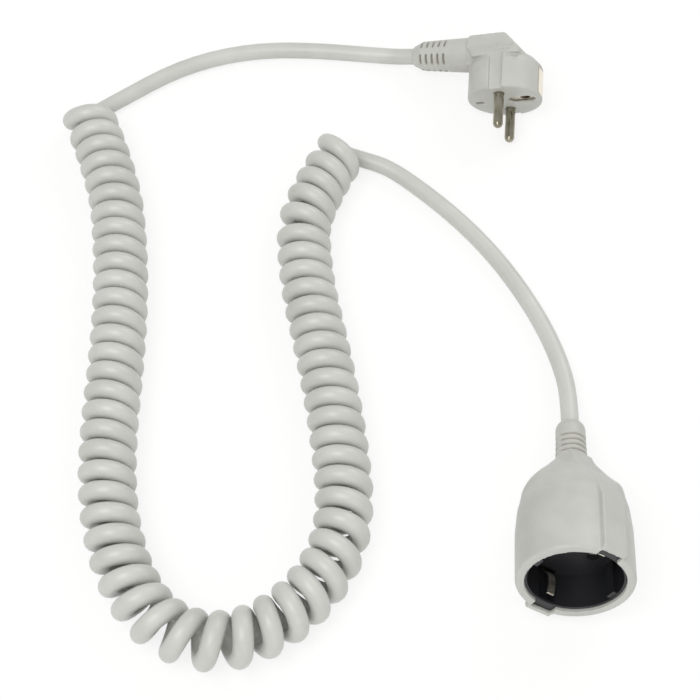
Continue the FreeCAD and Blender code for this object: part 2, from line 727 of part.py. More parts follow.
def arc_between(start, along, end):
    """the arc that leaves start in a given direction and ends at end"""
    chord = end - start
    straight = Vector(chord).normalize()
    outward = (along - straight * along.dot(straight)).normalize()
    half_turn = along.getAngle(straight)
    rise = start.distanceToPoint(end) / 2 * math.tan(half_turn / 2)
    return Part.Arc(start, (start + end) * 0.5 + outward * rise, end)


def biarc(start, start_along, end, end_along):
    """two arcs that join two points in two given directions"""
    gap = end - start
    both = start_along + end_along
    spread = 2 * (1 - start_along.dot(end_along))
    root = math.sqrt(gap.dot(both) ** 2 + spread * gap.dot(gap))
    reach = (root - gap.dot(both)) / spread
    first_corner = start + start_along * reach
    second_corner = end - end_along * reach
    joint = (first_corner + second_corner) * 0.5
    joint_along = (second_corner - first_corner).normalize()
    return [arc_between(start, start_along, joint), arc_between(joint, joint_along, end)]


def least_gap():
    """the smallest gap between two curls, measured on points of the wire's centre"""
    per_turn = 24
    points = [curl_point(i / per_turn) for i in range(curls * per_turn + 1)]
    least = 1000.0
    for i, here in enumerate(points):
        for there in points[i + per_turn // 2: i + 2 * per_turn]:
            least = min(least, here.distanceToPoint(there))
    return least - number.curl_wire


def curly_cord():
    """the curly section as one unbroken tube with a straight stub at each end"""
    first = curl_point(0) - curl_direction(0) * number.curl_wire
    last = curl_point(curls) + curl_direction(curls) * number.curl_wire
    edges = [Part.LineSegment(first, curl_point(0)).toShape()]
    radii = []
    for i in range(curls * STEPS_PER_CURL):
        turns = i / STEPS_PER_CURL
        then = (i + 1) / STEPS_PER_CURL
        for arc in biarc(curl_point(turns), curl_direction(turns),
                         curl_point(then), curl_direction(then)):
            edges.append(arc.toShape())
            radii.append(edges[-1].Curve.Radius)
    edges.append(Part.LineSegment(curl_point(curls), last).toShape())
    print("curly cord: %d curls, least gap to itself %.2f" % (curls, least_gap()))
    return kept("curly_cord", swept(edges, number.curl_wire / 2, "curly_cord", radii), Placement())


def lead(name, place, start, turn, first_run, route, end, end_along):
    """a straight lead from a strain relief to the curly section"""
    exit_point = place.multVec(start)
    exit_along = place.Rotation.multVec(turn)
    points = [exit_point, exit_point + exit_along * first_run] + [Vector(*p) for p in route]
    points += [end - end_along * ROUTE_START, end]
    return kept(name, tube(points, number.lead_radius, name), Placement())


def core(name, place, points):
    return kept(name, tube(points, number.core_radius, name), place)


def core_start(angle):
    """where a core lies in the cable's section"""
    turn = math.radians(angle)
    return number.core_circle * math.cos(turn), number.core_circle * math.sin(turn)


def coupling_core(name, angle, target, crimp):
    """an insulated core from the cable to its crimp barrel in the coupling"""
    x, y = core_start(angle)
    bend = number.room_end
    core(name, COUPLING_PLACE, [
        (x, y, number.neck_end),
        (x, y, bend - 0.2),
        (target[0], target[1], bend - 2.8),
        (target[0], target[1], crimp),
    ])


# Plug

def plug_body():
    """white overmoulded body with its grip cap and strain relief"""
    body = piece_body("plug_body", PLUG_PLACE)
    turned(body, "plug_shell", [
        (0, 0),
        (size.plug_radius - size.plug_rim, 0),
        (size.plug_radius - size.plug_rim * 0.3, size.plug_rim * 0.3),
        (size.plug_radius, size.plug_rim),
        (size.plug_radius, size.plug_shoulder - 1),
        (size.plug_radius - 0.7, size.plug_shoulder + 0.5),
        (size.plug_back_radius, size.plug_back),
        (0, size.plug_back),
    ])
    flat = size.plug_back - size.plug_flare
    block(body, "Subtractive", "side_flat",
          (-(size.plug_flat + 2), 0, size.plug_flare + flat / 2), (4, 40, flat))
    left = -size.plug_flat
    slab(body, "cap", [
        (left, size.plug_shoulder),
        (left, size.cap_top - 1.5),
        (left + 1.5, size.cap_top),
        (0.6, size.cap_top),
        (2.0, size.cap_top - 0.6),
        (size.plug_back_radius - 0.9, size.plug_back - 1.6),
        (size.plug_back_radius - 0.9, size.plug_shoulder),
    ], size.cap_width)
    skirt = body.newObject("PartDesign::AdditiveWedge", "cap_skirt")
    tie(skirt, Xmin=-size.skirt_left, Xmax=size.skirt_right, X2min=left,
        X2max=size.skirt_top_right, Ymin=0, Ymax=size.skirt_top - size.skirt_start,
        Zmin=-size.skirt_width / 2, Zmax=size.skirt_width / 2, Z2min=-size.cap_width / 2,
        Z2max=size.cap_width / 2)
    upright = Rotation(Vector(1, 0, 0), 90)
    put(skirt, (0, size.skirt_start, 0), upright)
    cone_length = size.relief_length - size.relief_nose
    relief_start = relief_turn.inverted().multVec(RELIEF_PLACE.Base)
    start = (relief_start.x, relief_start.y, relief_start.z)
    cone(body, "Additive", "strain_relief", (size.relief_radius, size.relief_end_radius), start,
         cone_length, relief_turn)
    nose = (start[0], start[1], start[2] + cone_length)
    cone(body, "Additive", "relief_nose", (size.relief_end_radius, size.lead_radius + 0.9), nose,
         size.relief_nose, relief_turn)
    rod(body, "Subtractive", "pin_carrier_room", size.plug_room, (0, 0, size.face_thickness),
        size.plug_shoulder + 1 - size.face_thickness)
    slab(body, "wiring_room", [
        (left + 3, size.plug_shoulder),
        (left + 3, size.cap_top - 2.6),
        (1.0, size.cap_top - 2.6),
        (size.plug_back_radius - 2.9, size.plug_back - 2),
        (size.plug_back_radius - 2.9, size.plug_shoulder),
    ], size.cap_width - 5, "Pocket")
    rod(body, "Subtractive", "clamp_seat", throat_radius, (start[0], start[1], start[2] - 5),
        5, relief_turn)
    rod(body, "Subtractive", "cable_channel", channel_radius,
        (start[0], start[1], start[2] - 3), size.relief_length + 5, relief_turn)
    for side in (1, -1):
        name = "a" if side < 0 else "b"
        block(body, "Subtractive", "guide_groove_" + name,
              (0, side * (size.plug_radius - size.groove_depth / 2 + 1), size.plug_back / 2),
              (size.groove_width, size.groove_depth + 2, size.plug_back + 2))
        rod(body, "Subtractive", "pin_hole_" + name, size.pin_root_radius + 0.1,
            (0, side * half_line, -1), size.face_thickness + 2)
    for side, reach in ((1, size.plug_radius), (-1, size.plug_flat)):
        name = "a" if side < 0 else "b"
        block(body, "Subtractive", "side_recess_" + name,
              (side * (reach - size.side_depth + 3), 0, size.side_length / 2 + size.face_thickness / 2),
              (6, size.side_width, size.side_length - size.face_thickness))
        block(body, "Subtractive", "strip_slot_" + name,
              (side * (reach - 3), 0, size.face_thickness + (size.metal + 0.3) / 2),
              (6, size.strip_width + 0.2, size.metal + 0.3))
    block(body, "Subtractive", "earth_window", (size.window_offset, 0, size.face_thickness / 2),
          (9, 7, size.face_thickness + 2))
    for side in (1, -1):
        rod(body, "Subtractive", "earth_window_end_%d" % (side + 1), 3.5,
            (size.window_offset + side * 3, 0, -1), size.face_thickness + 2)
    block(body, "Subtractive", "face_slot", (-12.5, 0, size.face_thickness / 2),
          (4, 2.6, size.face_thickness + 2))
    return body


def pin(name, side):
    """nickel-plated round pin with a rounded tip and a crimp barrel inside the plug"""
    body = piece_body(name, PLUG_PLACE)
    barrel = size.core_radius + size.wall_gap
    turned(body, "pin_shank", [
        (0, -size.pin_length),
        (size.pin_radius * 0.42, -size.pin_length + 0.15),
        (size.pin_radius * 0.78, -size.pin_length + 0.75),
        (size.pin_radius, -size.pin_length + 2),
        (size.pin_radius, 0),
        (size.pin_root_radius, 0),
        (size.pin_root_radius, size.carrier_end + 1),
        (barrel + size.crimp_wall, size.carrier_end + 1),
        (barrel + size.crimp_wall, size.carrier_end + 1 + size.crimp_length),
        (barrel, size.carrier_end + 1 + size.crimp_length),
        (barrel, size.carrier_end + 2),
        (0, size.carrier_end + 2),
    ])
    body.Placement = PLUG_PLACE * Placement(Vector(0, side * half_line.value, 0), Rotation())
    return body


def earth_strip():
    """sheet metal strip behind the face with a side contact at each end"""
    body = piece_body("earth_strip", PLUG_PLACE)
    front = size.face_thickness + 0.1
    left = size.plug_flat - size.side_depth + 0.1
    right = size.plug_radius - size.side_depth + 0.1
    slab(body, "strip", [
        (-(left + size.metal), front),
        (right + size.metal, front),
        (right + size.metal, size.side_length - 1),
        (right, size.side_length - 1),
        (right, front + size.metal),
        (-left, front + size.metal),
        (-left, size.side_length - 1),
        (-(left + size.metal), size.side_length - 1),
    ], size.strip_width)
    rod(body, "Subtractive", "socket_hole", size.earth_bore, (size.earth_offset, 0, front - 1), 4)
    return body


def earth_socket():
    """tube that takes the earth pin of a wall socket, with its crimp barrel"""
    body = piece_body("earth_socket", PLUG_PLACE)
    barrel = size.core_radius + size.wall_gap
    turned(body, "socket_tube", [
        (size.earth_bore, size.face_thickness + 0.1 + size.metal),
        (size.earth_bore + size.contact_wall, size.face_thickness + 0.1 + size.metal),
        (size.earth_bore + size.contact_wall, size.earth_end),
        (barrel + size.crimp_wall, size.earth_end),
        (barrel + size.crimp_wall, size.earth_end + size.crimp_length),
        (barrel, size.earth_end + size.crimp_length),
        (barrel, size.earth_end + 0.3),
        (0, size.earth_end + 0.3),
        (0, size.earth_end - 0.7),
        (size.earth_bore, size.earth_end - 0.7),
    ])
    body.Placement = PLUG_PLACE * Placement(Vector(number.earth_offset, 0, 0), Rotation())
    return body


def pin_carrier():
    """moulded bridge that holds the pins and the earth socket"""
    body = piece_body("pin_carrier", PLUG_PLACE)
    start = size.face_thickness + 0.1 + size.metal
    thickness = size.carrier_end - start
    rod(body, "Additive", "bridge", size.carrier_radius, (0, 0, start), thickness)
    for side in (1, -1):
        rod(body, "Subtractive", "pin_hole_%d" % (side + 1), size.pin_root_radius + size.wall_gap,
            (0, side * half_line, start - 1), thickness + 2)
    rod(body, "Subtractive", "socket_hole", size.earth_bore + size.contact_wall + size.wall_gap,
        (size.earth_offset, 0, start - 1), thickness + 2)
    return body


def plug_core(name, angle, way, target, crimp):
    """an insulated core from the cable to its crimp barrel in the plug"""
    x, y = core_start(angle)
    far = RELIEF_PLACE.multVec(Vector(x, y, number.relief_length))
    near = RELIEF_PLACE.multVec(Vector(x, y, -2 * number.clamp_length))
    core(name, PLUG_PLACE, [far, near, way, (target[0], target[1], crimp + number.crimp_length),
                            (target[0], target[1], crimp)])


# Build

axis = CurlyAxis(CURLY_AXIS)
curls, marks = curl_places()

coupling_cover()
socket_insert()
contact_carrier()
contact("live_contact", 1)
contact("neutral_contact", -1)
earth_bracket()
shutter()
shutter_spring()
clamp_ring("coupling_clamp", COUPLING_PLACE, size.throat_end - size.clamp_length)
cable_end("coupling_cable_end", COUPLING_PLACE, size.throat_end - size.clamp_length, size.neck_end)
coupling_core("coupling_live_core", 90, (0, half_line.value), number.contact_end + 1.3)
coupling_core("coupling_neutral_core", 210, (0, -half_line.value), number.contact_end + 1.3)
coupling_core("coupling_earth_core", 330, (number.earth_offset - 1, 0), number.contact_end + 1.7)

plug_body()
pin("live_pin", -1)
pin("neutral_pin", 1)
earth_strip()
earth_socket()
pin_carrier()
clamp_ring("plug_clamp", PLUG_PLACE * RELIEF_PLACE, -size.clamp_length)
cable_end("plug_cable_end", PLUG_PLACE * RELIEF_PLACE, -size.clamp_length, size.relief_length)
plug_core("plug_live_core", 210, (-2.5, -3.3, 18.2), (0, -half_line.value),
          number.carrier_end + 2.3)
plug_core("plug_neutral_core", 90, (-2.5, 3.3, 18.2), (0, half_line.value),
          number.carrier_end + 2.3)
plug_core("plug_earth_core", 330, (-1, -0.3, 24), (number.earth_offset, 0),
          number.earth_end + 0.6)

curly_cord()
lead("coupling_lead", COUPLING_PLACE, Vector(0, 0, number.neck_end), Vector(0, 0, 1),
     ROUTE_START, COUPLING_ROUTE, curl_point(curls) + curl_direction(curls) * number.curl_wire,
     -curl_direction(curls))
lead("plug_lead", PLUG_PLACE * RELIEF_PLACE, Vector(0, 0, number.relief_length), Vector(0, 0, 1),
     PLUG_ROUTE_START, PLUG_ROUTE, curl_point(0) - curl_direction(0) * number.curl_wire, curl_direction(0))

doc.recompute()

# Check and write

faults = [thing.Label for thing in doc.Objects
          if "Invalid" in thing.State or "Error" in thing.State]
faults += [piece.Label for piece in pieces if piece.Shape.isNull() or not piece.Shape.isValid()]
if faults:
    raise RuntimeError("failed: " + ", ".join(faults))
os.makedirs("parts", exist_ok=True)
for piece in pieces:
    box = piece.Shape.BoundBox
    print("%-22s volume %9.1f  lowest %6.2f  solids %d"
          % (piece.Label, piece.Shape.Volume, box.ZMin, len(piece.Shape.Solids)))
    piece.Shape.exportStep("parts/%s.step" % piece.Label)
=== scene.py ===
import math

import bmesh
import bpy
import numpy as np
from mathutils import Matrix, Vector


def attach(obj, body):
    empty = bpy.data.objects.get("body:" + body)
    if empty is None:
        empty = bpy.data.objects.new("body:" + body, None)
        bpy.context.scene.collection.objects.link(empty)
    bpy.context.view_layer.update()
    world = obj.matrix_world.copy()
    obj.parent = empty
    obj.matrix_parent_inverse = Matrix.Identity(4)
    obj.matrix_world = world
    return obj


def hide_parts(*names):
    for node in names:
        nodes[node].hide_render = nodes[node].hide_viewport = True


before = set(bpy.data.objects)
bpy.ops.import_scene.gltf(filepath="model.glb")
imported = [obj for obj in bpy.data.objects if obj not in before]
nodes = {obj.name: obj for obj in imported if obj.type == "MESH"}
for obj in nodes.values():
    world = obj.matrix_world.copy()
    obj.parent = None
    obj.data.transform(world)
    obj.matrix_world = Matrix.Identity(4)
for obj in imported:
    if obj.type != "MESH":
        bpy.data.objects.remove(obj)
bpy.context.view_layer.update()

MM = 0.001

# All sizes below are in millimetres and all angles in degrees, as the solids have them

# The curls, and the straight lead at each end of them

CURLS = 57
CURL_RADIUS = 8.25
CURL_WIRE = 8.8
CURL_OPEN = 0.4
CURL_TAIL = 6.0
CURL_END_TAIL = 4.5
CURL_END_AIM = 3.1
POINTS_PER_CURL = 16
TIGHTEST_SHARE = 0.2
LEAD_DIAMETER = 7.9
LEAD_SUNK = 1.5
ROUTE_START = 13.0
PLUG_ROUTE_START = 8.0

CURLY_AXIS = [
    (-232.7, 196.8), (-215.2, 160.3), (-207, 120.8), (-203.2, 90.8), (-201.2, 60.8),
    (-200.2, 30.8), (-197.7, 2.8), (-192.2, -21.2), (-181.7, -44.7), (-166.2, -61.2),
    (-146.2, -66.7), (-126.2, -60.7), (-108.7, -45.2), (-97.2, -24.2), (-95, -2.2),
    (-98.7, 22.8), (-104.5, 50.8), (-111.7, 78.8), (-119, 104.8), (-123.2, 129.8),
    (-123.7, 144.8), (-114.7, 171.8), (-108.8, 184.1),
]
PLUG_ROUTE = [
    (-93.6, 250.7, 4.2), (-106, 251.3, 4), (-127.7, 252, 4), (-151.7, 250.8, 4), (-175, 244.9, 4),
    (-197, 234, 4),
]
COUPLING_ROUTE = [
    (-2.1, 72.8, 6.4), (-10.2, 95.8, 4.3), (-22, 117.1, 4), (-36.1, 137, 4), (-52.4, 154.6, 4.2),
    (-69.7, 169.7, 4.2),
]

# The coupling: its own Z axis runs back from the mouth. Its cavity and its rim stay crisp, and
# the moulding gets softer behind the rim.

COUPLING_TILT = 13.0
COUPLING_ROLL = 59.0
COUPLING_MOUTH = (0, -38.20, 31.15)
CAVITY_RADIUS = 13.6
CAVITY_END = 48
RIM_END = 24
RIM_FADE = 10
RIM_SOFTNESS = 0.04
NECK_END = 83.0
NECK_RADIUS = 6.9
NECK_CRISP_END = 1.5
NECK_GROOVES = 4
NECK_GROOVE_SIDES = (0, 180)
NECK_GROOVE_START = 65.15
NECK_GROOVE_PITCH = 2.9
NECK_GROOVE_DEPTH = 0.9
NECK_GROOVE_SHAPE = {"half_width": 0.4, "edge": 0.35, "half_angle": 80, "fade": 7}

# The plug: its own Z axis runs back from its face, and the strain relief has a frame of its own

PLUG_TILT = 15.7
PLUG_ROLL = 21.0
PLUG_FACE = (-31.9, 215.6, 17.11)
FACE_EDGE = 2.2
FACE_SOFTNESS = 0.12
PLUG_SOFTNESS = 0.4
RELIEF_BASE = (-16.9, 0, 26.0)
RELIEF_TILT = 4.8
RELIEF_LENGTH = 30.8
SLOT_ROWS = 5
SLOTS_PER_ROW = 5
SLOT_ROW_ANGLE = 232.8
SLOT_START = 13.4
SLOT_PITCH = 3.1
SLOT_DEPTH = 1.5
SLOT_LIMIT = 11
SLOT_SHAPE = {"half_width": 0.45, "edge": 0.25, "half_angle": 21, "fade": 4}

# Ridges on the two slopes of the plug's cap. An edge is given by its distance from the cap's
# middle and its distance from the plug's face.

CAP_EDGE = (9.5, 26.2)
SKIRT_EDGE = (17.4, 17.4)
RIDGES_FORWARD = 0.6
RIDGES_BELOW_EDGE = 2.3
RIDGES = {"Count": 2, "Pitch": 4.2, "Shift": 1.3, "Length": 11.6, "Width": 0.9, "Taper": 0.34}

# The meshes of the two mouldings: grain of the mesh, rounds of softening and most triangles

COUPLING_VOXEL = 0.45
COUPLING_ROUNDS = 9
PLUG_VOXEL = 0.36
PLUG_ROUNDS = 6
MOST_TRIANGLES = 180000
BORE_RADIUS = 5.4

# The view that the photo shows, and the studio, in metres where MM isn't applied

LENS = 87.4
SENSOR = 36
FARTHEST = 20
EYE = (-73.9, -303.7, 669.2)
LOOK_AT = (-98.5, 81.9, 0)
TABLE_REACH = 4
TABLE_GLOW = 0.8
ROOM_LIGHT = 0.62
LAMPS_AIM = (-0.1, 0.08, 0)
LAMPS = [
    ("soft box above", (-0.45, -0.35, 1.3), 0.9, 11.0),
    ("soft box behind", (0.5, 1.0, 0.9), 0.8, 5.0),
    ("fill at the front", (0.35, -1.2, 0.6), 0.7, 3.0),
]


def turned(angle, axis):
    return Matrix.Rotation(math.radians(angle), 4, axis)


COUPLING_PLACE = (Matrix.Translation(COUPLING_MOUTH) @ turned(-90 - COUPLING_TILT, "X")
                  @ turned(-COUPLING_ROLL, "Z"))
PLUG_PLACE = (Matrix.Translation(PLUG_FACE) @ turned(-90 + PLUG_TILT, "X")
              @ turned(-PLUG_ROLL, "Z"))
RELIEF_PLACE = PLUG_PLACE @ Matrix.Translation(RELIEF_BASE) @ turned(RELIEF_TILT - 90, "Y")


def in_scene(name, data):
    """a new object with that data, at the origin"""
    made = bpy.data.objects.new(name, data)
    bpy.context.scene.collection.objects.link(made)
    return made


def evaluated_mesh(piece):
    """the piece's mesh as its modifiers or its curve make it"""
    bpy.context.view_layer.update()
    graph = bpy.context.evaluated_depsgraph_get()
    return bpy.data.meshes.new_from_object(piece.evaluated_get(graph))


def settle(piece):
    """writes the piece's modifiers into its mesh and takes them off"""
    made = evaluated_mesh(piece)
    piece.modifiers.clear()
    piece.data = made


# Nodes and colours

def linear(code):
    """an sRGB hex value as linear colour"""
    parts = [int(code[i:i + 2], 16) / 255 for i in (1, 3, 5)]
    return tuple(c / 12.92 if c <= 0.04045 else ((c + 0.055) / 1.055) ** 2.4 for c in parts) + (1,)


def add_node(tree, kind, links=(), **settings):
    """adds a node with its settings; links are pairs of an input and the socket that feeds it"""
    node = tree.nodes.new(kind)
    for name, value in settings.items():
        if hasattr(node, name):
            setattr(node, name, value)
        else:
            node.inputs[name.replace("_", " ")].default_value = value
    for name, socket in links:
        tree.links.new(socket, node.inputs[name])
    return node


def sum_of(tree, operation, first, second):
    """the output of a sum on two sockets or numbers"""
    node = add_node(tree, "ShaderNodeMath", operation=operation)
    for place, value in enumerate((first, second)):
        if isinstance(value, (int, float)):
            node.inputs[place].default_value = value
        else:
            tree.links.new(value, node.inputs[place])
    return node.outputs[0]


def new_material(name):
    material = bpy.data.materials.new(name)
    material.use_nodes = True
    material.node_tree.nodes.clear()
    return material, material.node_tree


# Camera, table and light

bpy.context.scene.view_settings.view_transform = "Standard"


def camera():
    """a long lens, 60 degrees above the table, whose place was fitted to the photo"""
    data = bpy.data.cameras.new("product camera")
    data.sensor_width = SENSOR
    data.lens = LENS
    data.clip_end = FARTHEST
    eye = in_scene("product camera", data)
    eye.location = Vector(EYE) * MM
    look = Vector(LOOK_AT) * MM - eye.location
    eye.rotation_euler = look.to_track_quat("-Z", "Y").to_euler()
    bpy.context.scene.camera = eye


def table_top():
    """a pale card that stays white to the lens and still takes the cord's shadow"""
    mesh = bpy.data.meshes.new("table top")
    corners = ((-1, -1), (1, -1), (1, 1), (-1, 1))
    mesh.from_pydata([(x * TABLE_REACH, y * TABLE_REACH, 0) for x, y in corners], [],
                     [(0, 1, 2, 3)])
    table = in_scene("table top", mesh)
    material, tree = new_material("matt white card")
    paper = add_node(tree, "ShaderNodeBsdfDiffuse", Color=linear("#F4F4F2"))
    glow = add_node(tree, "ShaderNodeEmission", Color=(1, 1, 1, 1), Strength=1)
    rays = add_node(tree, "ShaderNodeLightPath").outputs
    seen = sum_of(tree, "MULTIPLY", rays["Is Camera Ray"], TABLE_GLOW)
    mirrored = sum_of(tree, "MAXIMUM", seen, rays["Is Glossy Ray"])
    through = sum_of(tree, "MAXIMUM", mirrored, rays["Is Transmission Ray"])
    mix = add_node(tree, "ShaderNodeMixShader",
                   [(0, through), (1, paper.outputs[0]), (2, glow.outputs[0])])
    add_node(tree, "ShaderNodeOutputMaterial", [("Surface", mix.outputs[0])])
    mesh.materials.append(material)


def studio():
    """the table, an even white room and three soft lamps"""
    table_top()
    world = bpy.data.worlds.new("studio")
    bpy.context.scene.world = world
    world.use_nodes = True
    tree = world.node_tree
    tree.nodes.clear()
    rays = add_node(tree, "ShaderNodeLightPath").outputs
    soft = add_node(tree, "ShaderNodeBackground", Color=linear("#F6F6F4"), Strength=ROOM_LIGHT)
    white = add_node(tree, "ShaderNodeBackground", Color=(1, 1, 1, 1), Strength=1)
    seen = sum_of(tree, "MAXIMUM", rays["Is Camera Ray"], rays["Is Transmission Ray"])
    mix = add_node(tree, "ShaderNodeMixShader",
                   [(0, seen), (1, soft.outputs[0]), (2, white.outputs[0])])
    add_node(tree, "ShaderNodeOutputWorld", [("Surface", mix.outputs[0])])

    for name, place, width, power in LAMPS:
        data = bpy.data.lights.new(name, "AREA")
        data.size = width
        data.energy = power
        lamp = in_scene(name, data)
        lamp.location = place
        aim = Vector(LAMPS_AIM) - lamp.location
        lamp.rotation_euler = aim.to_track_quat("-Z", "Y").to_euler()


# The cable: one smooth line from the plug through the curls to the coupling

def smooth_line(name, points, radii=None, steps=3):
    """a curve with those points as its control points, in millimetres"""
    curve = bpy.data.curves.new(name, "CURVE")
    curve.dimensions = "3D"
    spline = curve.splines.new("NURBS")
    spline.points.add(len(points) - 1)
    for i, point in enumerate(points):
        spline.points[i].co = (point[0] * MM, point[1] * MM, point[2] * MM, 1)
        spline.points[i].radius = radii[i] if radii else 1
    spline.order_u = 3
    spline.use_endpoint_u = True
    curve.resolution_u = steps
    return in_scene(name, curve)


def line_points(line):
    """the points of a curve with no bevel, in millimetres; the curve is removed"""
    mesh = evaluated_mesh(line)
    spots = np.array([vertex.co for vertex in mesh.vertices], float) / MM
    bpy.data.meshes.remove(mesh)
    bpy.data.objects.remove(line)
    return spots


def curl_line():
    """the turns of the curly section's wire about its axis

    In a bend the curls stand as close as they can on its inside, so fewer turns go there."""
    axis = smooth_line("curly axis", [(x, y, 0) for x, y in CURLY_AXIS], steps=24)
    spots = line_points(axis)[:, :2]
    runs = np.linalg.norm(np.diff(spots, axis=0), axis=1)
    spots = spots[np.append(True, runs > 1e-6)]
    runs = np.linalg.norm(np.diff(spots, axis=0), axis=1)
    at = np.append(0, np.cumsum(runs))
    along = np.gradient(spots, at, axis=0)
    along /= np.linalg.norm(along, axis=1)[:, None]
    heading = np.unwrap(np.arctan2(along[:, 1], along[:, 0]))
    bend = np.abs(np.gradient(heading, at))
    share = np.clip(1 - CURL_RADIUS * bend, TIGHTEST_SHARE, 1)
    turns = np.append(0, np.cumsum(runs * (share[1:] + share[:-1]) / 2))
    turns *= CURLS / turns[-1]
    drawn = math.cos(math.pi / POINTS_PER_CURL)
    curl = []
    for step in range(CURLS * POINTS_PER_CURL + 1):
        turn = step / POINTS_PER_CURL
        s = np.interp(turn, turns, at)
        centre = Vector((np.interp(s, at, spots[:, 0]), np.interp(s, at, spots[:, 1]), 0))
        way = np.interp(s, at, heading)
        forward = Vector((math.cos(way), math.sin(way), 0))
        sideways = Vector((forward.y, -forward.x, 0))
        from_end = min(turn, CURLS - turn)
        radius = CURL_RADIUS + CURL_OPEN * max(0, 1 - from_end) ** 2
        near_end = max(0, 1 - 2 * from_end)
        rise = near_end ** 2 * (3 - 2 * near_end)
        if turn < CURLS / 2:
            centre -= forward * (CURL_TAIL * rise)
        else:
            aim = CURL_END_AIM * near_end ** 2 * (1 - near_end)
            centre += forward * (CURL_END_TAIL * rise + aim)
        angle = 2 * math.pi * turn
        height = CURL_WIRE / 2 + radius - radius / drawn * math.cos(angle)
        curl.append(centre + sideways * (radius / drawn * math.sin(angle)) + Vector((0, 0, height)))
    return curl


def level_way(start, end):
    """the level direction from one point to another"""
    way = end - start
    way.z = 0
    return way.normalized()


def cable():
    """plasticised PVC cable, moulded round the mandrel for its curls"""
    curl = curl_line()
    first_along = level_way(curl[0], curl[1])
    last_along = level_way(curl[-2], curl[-1])
    curl[0].z = curl[-1].z = CURL_WIRE / 2
    plug_exit = RELIEF_PLACE @ Vector((0, 0, RELIEF_LENGTH))
    plug_along = (RELIEF_PLACE.to_3x3() @ Vector((0, 0, 1))).normalized()
    mouth_exit = COUPLING_PLACE @ Vector((0, 0, NECK_END))
    mouth_along = (COUPLING_PLACE.to_3x3() @ Vector((0, 0, 1))).normalized()
    leads_in = [plug_exit - plug_along * LEAD_SUNK, plug_exit + plug_along * PLUG_ROUTE_START]
    leads_in += [Vector(point) for point in PLUG_ROUTE]
    leads_in += [curl[0] - first_along * far for far in (ROUTE_START + CURL_WIRE, CURL_WIRE)]
    leads_out = [curl[-1] + last_along * far for far in (CURL_WIRE, ROUTE_START + CURL_WIRE)]
    leads_out += [Vector(point) for point in reversed(COUPLING_ROUTE)]
    leads_out += [mouth_exit + mouth_along * ROUTE_START, mouth_exit - mouth_along * LEAD_SUNK]
    points = leads_in + curl + leads_out
    thin = LEAD_DIAMETER / CURL_WIRE
    radii = [thin] * len(leads_in) + [1] * len(curl) + [thin] * len(leads_out)
    for place in range(POINTS_PER_CURL // 2):
        grown = thin + (1 - thin) * place / (POINTS_PER_CURL // 2)
        radii[len(leads_in) + place] = grown
        radii[-len(leads_out) - 1 - place] = grown
    bare = line_points(smooth_line("bare line", points))
    length = float(np.sum(np.linalg.norm(np.diff(bare, axis=0), axis=1)))
    line = smooth_line("pvc_cable", points, radii)
    line.data.bevel_depth = CURL_WIRE / 2 * MM
    line.data.bevel_resolution = 6
    line.data.use_fill_caps = True
    return line, length * MM, mouth_exit * MM


# Moulded pieces: the solid's own shape with the soft edges of a moulding

def moulding(node, name, voxel):
    """a copy of the node's shape as one even mesh"""
    mesh = nodes[node].data.copy()
    mesh.materials.clear()
    shape = bmesh.new()
    shape.from_mesh(mesh)
    bmesh.ops.remove_doubles(shape, verts=shape.verts, dist=1e-6)
    shape.to_mesh(mesh)
    shape.free()
    piece = in_scene(name, mesh)
    remesh = piece.modifiers.new("even mesh", "REMESH")
    remesh.mode = "VOXEL"
    remesh.voxel_size = voxel * MM
    settle(piece)
    return piece


def mesh_points(mesh):
    """the mesh's points as rows, in metres"""
    flat = np.zeros(len(mesh.vertices) * 3)
    mesh.vertices.foreach_get("co", flat)
    return flat.reshape(-1, 3)


def mesh_edges(mesh):
    """the mesh's edges as rows of two point numbers"""
    flat = np.zeros(len(mesh.edges) * 2, int)
    mesh.edges.foreach_get("vertices", flat)
    return flat.reshape(-1, 2)


def soften(points, edges, weight, rounds):
    """rounds the edges by averaging neighbours, more where the weight is high"""
    count = np.bincount(edges.ravel(), minlength=len(points))[:, None]
    pull = 0.5 * weight[:, None]
    for _ in range(rounds):
        total = np.zeros_like(points)
        for axis in range(3):
            total[:, axis] = (np.bincount(edges[:, 0], points[edges[:, 1], axis], len(points))
                              + np.bincount(edges[:, 1], points[edges[:, 0], axis], len(points)))
        points = points + pull * (total / count - points)
    return points


def in_place(points, place):
    """row points in metres as points of a piece's own frame in millimetres"""
    inverse = np.array(place.inverted())
    return points / MM @ inverse[:3, :3].T + inverse[:3, 3]


def in_row(points, place):
    """row points of a piece's own frame in millimetres as points in metres"""
    forward = np.array(place)
    return (points @ forward[:3, :3].T + forward[:3, 3]) * MM


def dent(distance, half_width, edge):
    """1 inside a groove, falling smoothly to 0 over its edge"""
    rise = np.clip((half_width + edge - np.abs(distance)) / (2 * edge), 0, 1)
    return rise * rise * (3 - 2 * rise)


def grooves(own, sides, starts, half_width, edge, half_angle, fade):
    """how deep each point lies in grooves that run round Z: at those angles and those heights"""
    angle = np.degrees(np.arctan2(own[:, 1], own[:, 0]))
    depth = np.zeros(len(own))
    for side in sides:
        off = np.abs((angle - side + 180) % 360 - 180)
        for start in starts:
            along = dent(own[:, 2] - start, half_width, edge)
            depth = np.maximum(depth, along * dent(off, half_angle, fade))
    return depth


def finish_mesh(piece, points, groove):
    """writes the points back, marks the grooves and thins the mesh"""
    piece.data.vertices.foreach_set("co", points.ravel())
    # The groove mark also tells the moulded PVC where to paint its shade in grooves and slots
    mark = piece.data.attributes.new("groove", "FLOAT", "POINT")
    mark.data.foreach_set("value", groove.astype(np.float32))
    piece.data.update()
    triangles = len(piece.data.polygons) * 2
    if triangles > MOST_TRIANGLES:
        thin = piece.modifiers.new("thin", "DECIMATE")
        thin.ratio = MOST_TRIANGLES / triangles
        settle(piece)
    piece.data.shade_smooth()


